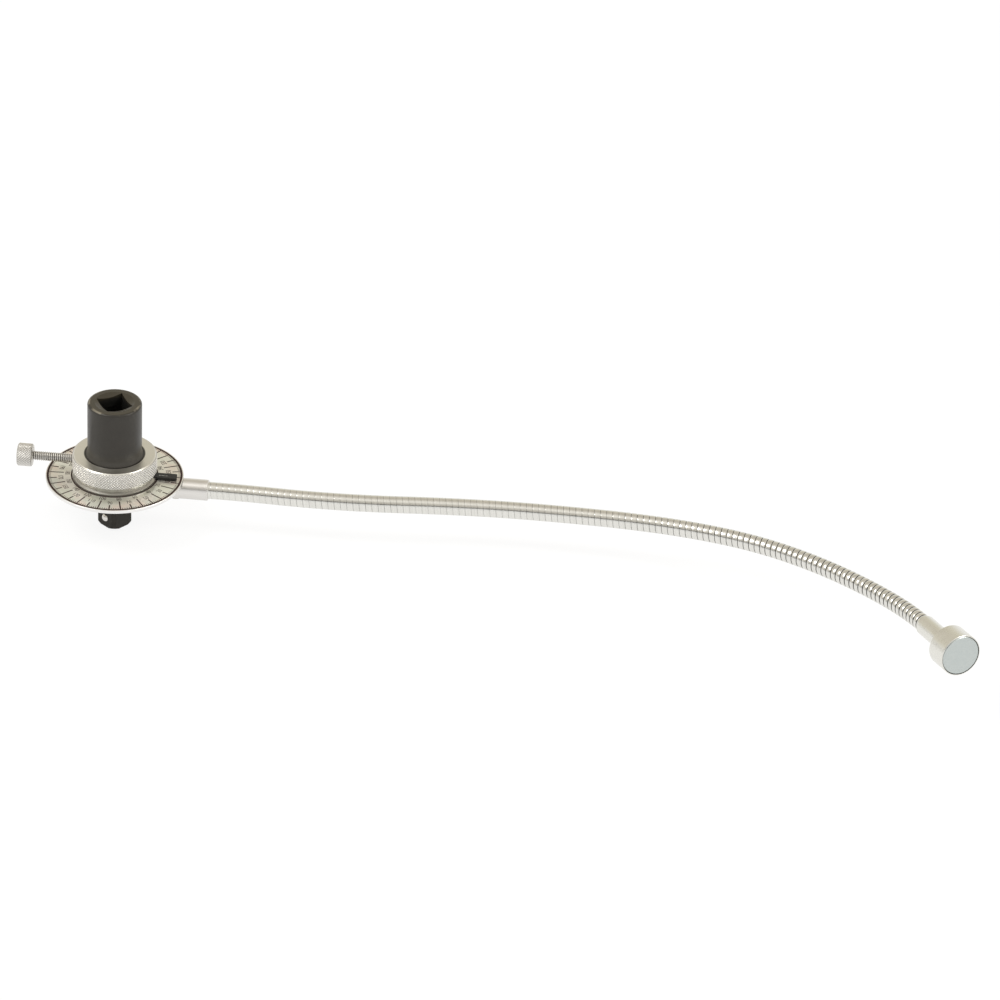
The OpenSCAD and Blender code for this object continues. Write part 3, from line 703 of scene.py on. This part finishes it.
# %% Wound surfaces
def wound(name, line, low, high, pitch, shares, radii, columns, material, stretch=None,
          dip=None, sharp=40):
    """A closed rod from low to high along a line, with a profile that winds round it.

    line(s) gives places, side ways and upward ways. The radius at a share of the pitch
    comes from the profile, and the place along the line is pitch times (turn number +
    share + share of a full circle). dip(s, share) is taken off the radius. The flat map
    holds turn number + share, and the share of a full circle."""
    turn = np.linspace(0, 1, columns + 1)
    first, last = math.floor(low / pitch) - 1, math.ceil(high / pitch) + 1
    count = np.arange(first, last)[:, None, None]
    s = pitch * (count + np.asarray(shares)[None, :, None] + turn[None, None, :])
    strip = (s / pitch - turn).reshape(-1, columns + 1)
    if stretch is not None:
        s = stretch(s, pitch * (count + 0.5 + turn[None, None, :]), 2 * np.pi * turn)
    s = s.reshape(-1, columns + 1)
    clipped = np.clip(s, low, high)
    phase = (clipped / pitch - turn) % 1.0
    listed = np.tile(np.asarray(radii)[:, None], (len(count), columns + 1))
    cut = np.interp(phase, shares, radii, period=1.0)
    r = np.where(clipped == s, listed, cut)
    strip = np.where(clipped == s, strip, clipped / pitch - turn)
    if dip is not None:
        r = r - dip(clipped, strip % 1.0)
    low_row, high_row = np.full((1, columns + 1), low), np.full((1, columns + 1), high)
    strip = np.concatenate([strip[:1], strip, strip[-1:]])
    s = np.concatenate([low_row, clipped, high_row])
    r = np.concatenate([0 * low_row, r, 0 * high_row])
    centre, side, up = line(s)
    angle = 2 * np.pi * turn[None, :, None]
    points = centre + r[..., None] * (np.cos(angle) * side + np.sin(angle) * up)
    flat = np.stack([strip, np.broadcast_to(turn, strip.shape)], -1)
    return grid_piece(name, points, material, sharp=sharp, flat=flat)


def straight(start, heading):
    """A line for wound(): places along a level heading from a start point."""
    way = math.radians(heading)
    step = np.array([math.cos(way), math.sin(way), 0.0])
    side = np.array([-math.sin(way), math.cos(way), 0.0])

    def line(s):
        places = np.asarray(start) + s[..., None] * step
        return places, np.broadcast_to(side, places.shape), np.broadcast_to([0, 0, 1.0], places.shape)

    return line


print("wound surfaces ready")

# %% [markdown]
# The clamp screw has a thread of pitch 1 mm, cut with a 60 degree V whose crest and root
# are a little flat. Its head is a knurled drum with bevelled ends, made as one
# profile turned about the same axis, whose knurl fades out at the bevels.

# %% Clamp screw
CLAMP_R, THREAD_PITCH, THREAD_DEPTH = 0.00225, 0.0010, 0.00050
THREAD_LOW, THREAD_HIGH = 0.0158, 0.0392
HEAD_R, HEAD_LOW, HEAD_LEN, HEAD_BEVEL = 0.0055, 0.0391, 0.0072, 0.0003

clamp_line = straight((0, 0, CLAMP_Z), 180.0)
thread = wound(
    "clamp_thread", clamp_line, THREAD_LOW, THREAD_HIGH, THREAD_PITCH,
    [0.0, 0.12, 0.46, 0.54, 0.88, 0.94],
    [CLAMP_R, CLAMP_R, CLAMP_R - THREAD_DEPTH, CLAMP_R - THREAD_DEPTH, CLAMP_R, CLAMP_R],
    28, clamp_steel,
)
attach(thread, "clamp_screw")
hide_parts("thumb_screw")
report(thread)

HEAD_COUNT, HEAD_STEP, HEAD_DEPTH = 28, 10, 0.00034
HEAD_SECOND_CUT = 0.30
columns = HEAD_COUNT * HEAD_STEP
turn = np.arange(columns + 1) * 2 * np.pi / columns
pitch = 2 * np.pi * HEAD_R / HEAD_COUNT
knurl_from, knurl_to = HEAD_LOW + HEAD_BEVEL, HEAD_LOW + HEAD_LEN - HEAD_BEVEL
rows = int(round((knurl_to - knurl_from) / pitch * HEAD_STEP))
s = np.linspace(knurl_from, knurl_to, rows + 1)
fade = np.clip(np.minimum(s - s[0], s[-1] - s) / KNURL_FADE, 0, 1)
knurled = HEAD_R - HEAD_DEPTH * (1 - fade[:, None] * knurl_height(
    turn[None], (s - s[0])[:, None], HEAD_COUNT, pitch, HEAD_SECOND_CUT))
before = [(HEAD_LOW, 0.0), (HEAD_LOW, HEAD_R - HEAD_BEVEL - HEAD_DEPTH)]
after = [(HEAD_LOW + HEAD_LEN, HEAD_R - HEAD_BEVEL - HEAD_DEPTH), (HEAD_LOW + HEAD_LEN, 0.0)]


def round_rows(pairs):
    """Places, and radii that stay the same all the way round."""
    s, r = np.array(pairs).T
    return s, r[:, None] + np.zeros(columns + 1)


s_before, r_before = round_rows(before)
s_after, r_after = round_rows(after)
s = np.concatenate([s_before, s, s_after])[:, None] + np.zeros(columns + 1)
r = np.concatenate([r_before, knurled, r_after])
centre, side, up = clamp_line(s)
angle = turn[None, :, None]
points = centre + r[..., None] * (np.cos(angle) * side + np.sin(angle) * up)
head = grid_piece("clamp_head", points, clamp_steel, sharp=12)
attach(head, "clamp_screw")
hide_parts("thumb_screw")
report(head)

# %% [markdown]
# The hose is a flat steel strip wound into a tube. Each turn hooks the next, so the
# bands stay one width and only the thin grooves between them open on the outside of a
# bend and close on its inside. Towards the magnet the bands are more rounded. Thirteen
# lengths share the arm, and each middle one crosses one hinge of the CAD arm and
# follows the arm's curve through it.

# %% Strip-wound hose
HOSE_R, HOSE_PITCH, GROOVE_DEPTH, HOSE_COLUMNS = 0.0041, 0.00295, 0.00045, 56
OPENING_PLACES = (0.0, 0.10, 0.19, 0.23, 0.27, 0.31, 0.37)
OPENING_SHARES = (0.0, 0.005, 0.03, 0.08, 0.14, 0.18, 0.24)
BOWED_PLACES, BOWED_DEPTHS = (0.0, 0.19, 0.27, 0.33), (0.00002, 0.00003, 0.00016, 0.00026)
CROWN = (
    (0.0, GROOVE_DEPTH), (0.008, GROOVE_DEPTH), (0.014, 0.000024), (0.045, 0.000012),
    (0.11, 0.000009), (0.22, 0.000006), (0.50, 0.0), (0.78, 0.000006),
    (0.89, 0.000009), (0.955, 0.000012), (0.986, 0.000024), (0.992, GROOVE_DEPTH),
)
GROOVE_SHADE_EDGE = (0.484, 0.491)
HELD = 0.0093
hose_shares = [share for share, _ in CROWN]
hose_radii = [HOSE_R - drop for _, drop in CROWN]


def polished_strip():
    """Polished strip: drawn lines run along the wound strip, and the grooves are painted dark as
    shade.
    """
    material, sheet = new_material("hose_steel")
    point, x, y, z = sheet.place()
    flat = sheet.node("ShaderNodeUVMap", {"uv_map": "flat"})
    strip, round_it = (sheet.node("ShaderNodeSeparateXYZ", None, flat, out=i) for i in (0, 1))
    share = strip.math("FRACT", strip)
    from_middle = share.math("ABSOLUTE", share - 0.5)
    groove = from_middle.between(*GROOVE_SHADE_EDGE)
    drawn = sheet.noise(sheet.point(strip * 5.0, round_it * 1.2, 0.0), 1.0, 2.0)
    cloud = sheet.noise(point, 260.0, 3.0)
    colour = sheet.mix(drawn, (0.66, 0.65, 0.61), (0.83, 0.82, 0.78))
    # painted shade: the grooves are coloured near black
    colour = sheet.mix(groove, colour, (0.030, 0.026, 0.022))
    rough = cloud * 0.08 + drawn * 0.10 + 0.14 + groove * 0.4
    finish_material(sheet, colour, 1 - groove, rough, sheet.bump(drawn, 0.000025),
                    Specular_IOR_Level=0.2)
    return material


def open_grooves(s, middle, angle):
    """Keeps each band's width while the arm bends, and slackens the winding near its end."""
    link = np.clip(np.floor(middle / LINK_LEN), 0, LINKS - 1).astype(int)
    curve = np.radians(LINK_ANGLES)[link] / LINK_LEN
    slack = np.interp(middle, OPENING_PLACES, OPENING_SHARES)
    growth = 1 + slack - curve * HOSE_R * np.cos(angle)
    return middle + (s - middle) / growth


def rounded_bands(s, share):
    """How far a band bows down to its edges: the cube of the share of the way from its
    middle, times a depth that grows towards the magnet."""
    depth = np.interp(s, BOWED_PLACES, BOWED_DEPTHS)
    return depth * np.abs(2 * share - 1) ** 3


hose_steel = polished_strip()
cuts = [-HELD, *(LINK_LEN * (k + 0.5) for k in range(LINKS)), LINKS * LINK_LEN + HELD]
for k in range(LINKS + 1):
    length = wound(
        f"hose_{k + 1}", arm_line, cuts[k], cuts[k + 1], HOSE_PITCH,
        hose_shares, hose_radii, HOSE_COLUMNS, hose_steel, stretch=open_grooves,
        dip=rounded_bands,
    )
    if k in (0, LINKS):
        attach(length, "dial" if k == 0 else f"arm_{LINKS}")
        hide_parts(f"hose_link_{max(k, 1)}")
    else:
        ends = arm_line(np.array([cuts[k], cuts[k + 1]]))[0]
        before = "dial" if k == 1 else f"arm_{k}"
        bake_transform(length)
        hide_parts(f"hose_link_{k}", f"hose_link_{k + 1}")
    if k in (0, 5, LINKS):
        report(length)
print("hose lengths:", LINKS + 1)

# %% [markdown]
# The scale is printed ink, and ink has an edge. So every line and figure is a very thin
# solid on the face: rings and ticks from arrays of corners, figures from the plain
# built-in font. The inner ring is painted shadow in the gap at the pointer ring's foot,
# made the same way in the same ink. Figures stand with their tops to the middle, in two
# staggered rows.

# %% Ink
def ink_material():
    material, sheet = new_material("dial_ink")
    point, x, y, z = sheet.place()
    grain = sheet.noise(point, 1500.0, 3.0)
    colour = sheet.mix(grain, (0.020, 0.010, 0.009), (0.060, 0.032, 0.028))
    finish_material(sheet, colour, 0.0, grain * 0.2 + 0.5, Specular_IOR_Level=0.15)
    return material


ink = ink_material()
INK_LOW, INK_HIGH, RING_SIDES = 0.026085, 0.026118, 180


def ink_rings(name, edges):
    """Flat rings: each is a four-cornered section turned about the spindle."""
    turn = np.linspace(0, 2 * np.pi, RING_SIDES + 1)[:-1]
    for number, (inside, outside) in enumerate(edges):
        r = np.array([inside, outside, outside, inside])[:, None] + 0 * turn
        z = np.array([INK_LOW, INK_LOW, INK_HIGH, INK_HIGH])[:, None] + 0 * turn
        band = np.stack([r * np.cos(turn), r * np.sin(turn), z], -1)
        piece = grid_piece(f"{name}_{number + 1}", band, ink, True, True)
        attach(piece, "dial")
        report(piece)


def ink_ticks(name, degrees, inside, outside, width):
    """Boxes along radii: corners at two radii, two sides and two heights."""
    a = np.radians(np.asarray(degrees, float))
    out = np.stack([np.cos(a), np.sin(a)], -1)[:, None]
    across = np.stack([-np.sin(a), np.cos(a)], -1)[:, None]
    r = np.array([inside, outside, outside, inside] * 2)[None, :, None]
    w = np.array([-1, -1, 1, 1] * 2)[None, :, None] * width / 2
    flat = r * out + w * across
    level = np.array([INK_LOW] * 4 + [INK_HIGH] * 4)[None, :, None]
    z = np.broadcast_to(level, flat.shape[:2] + (1,))
    points = np.concatenate([flat, z], -1).reshape(-1, 3)
    box = np.array([
        (3, 2, 1, 0), (4, 5, 6, 7), (0, 1, 5, 4), (1, 2, 6, 5), (2, 3, 7, 6), (3, 0, 4, 7),
    ])
    faces = (np.arange(len(a))[:, None, None] * 8 + box[None]).reshape(-1, 4)
    piece = mesh_piece(name, points, faces, ink)
    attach(piece, "dial")
    report(piece)


SCALE_TURN = 3.5
# The inner ring is painted shadow in the gap at the pointer ring's foot, drawn in dial ink.
OUTER_RING, FOOT_SHADOW_RING = (0.0312, 0.0322), (0.0201, 0.0208)
TICK_END, FINE_START, SHORT_START, LONG_START = 0.0313, 0.0302, 0.0275, 0.0242
FINE_WIDTH, BOLD_WIDTH = 0.00030, 0.00064

# The second ring, ink_ring_2, is the painted shadow at the pointer ring's foot.
ink_rings("ink_ring", [OUTER_RING, FOOT_SHADOW_RING])
every = np.arange(0, 360, 2)
fine, short, long = every[every % 10 != 0], np.arange(10, 360, 20), np.arange(0, 360, 20)
ink_ticks("ink_ticks_fine", fine + SCALE_TURN, FINE_START, TICK_END, FINE_WIDTH)
ink_ticks("ink_ticks_short", short + SCALE_TURN, SHORT_START, TICK_END, BOLD_WIDTH)
ink_ticks("ink_ticks_long", long + SCALE_TURN, LONG_START, TICK_END, BOLD_WIDTH)

# %% [markdown]
# Each figure is typed once as text, made a mesh, and then turned into its place with
# arrays. All of them are joined in one piece.

# %% Figures
FIGURE_SIZE, FIGURE_NARROW, OUTER_ROW, INNER_ROW = 0.0034, 0.72, 0.0256, 0.0223


def text_mesh(words):
    """Corners and triangles of extruded text, centred on its middle."""
    curve = bpy.data.curves.new("figure", "FONT")
    curve.body, curve.size, curve.extrude = words, FIGURE_SIZE, (INK_HIGH - INK_LOW) / 2
    curve.align_x, curve.resolution_u = "CENTER", 3
    holder = bpy.data.objects.new("figure", curve)
    bpy.context.scene.collection.objects.link(holder)
    scene_state = bpy.context.evaluated_depsgraph_get()
    flat = bpy.data.meshes.new_from_object(holder.evaluated_get(scene_state))
    flat.calc_loop_triangles()
    points = np.empty(len(flat.vertices) * 3)
    corners = np.empty(len(flat.loop_triangles) * 3, int)
    flat.vertices.foreach_get("co", points)
    flat.loop_triangles.foreach_get("vertices", corners)
    bpy.data.objects.remove(holder)
    points = points.reshape(-1, 3)
    points[:, 1] -= (points[:, 1].min() + points[:, 1].max()) / 2
    return points, corners.reshape(-1, 3)


all_points, all_faces, used = [], [], 0
for degrees in range(0, 360, 10):
    points, faces = text_mesh(str(degrees))
    a = math.radians(SCALE_TURN - degrees)
    row = INNER_ROW if degrees % 20 == 0 else OUTER_ROW
    right = np.array([-math.sin(a), math.cos(a)]) * FIGURE_NARROW
    top = np.array([-math.cos(a), -math.sin(a)])
    middle = -row * top
    flat = middle + points[:, :1] * right + points[:, 1:2] * top
    z = points[:, 2:3] + (INK_LOW + INK_HIGH) / 2
    all_points.append(np.concatenate([flat, z], -1))
    all_faces.append(faces + used)
    used += len(points)
figures = mesh_piece("ink_figures", np.concatenate(all_points), np.concatenate(all_faces), ink)
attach(figures, "dial")
report(figures)
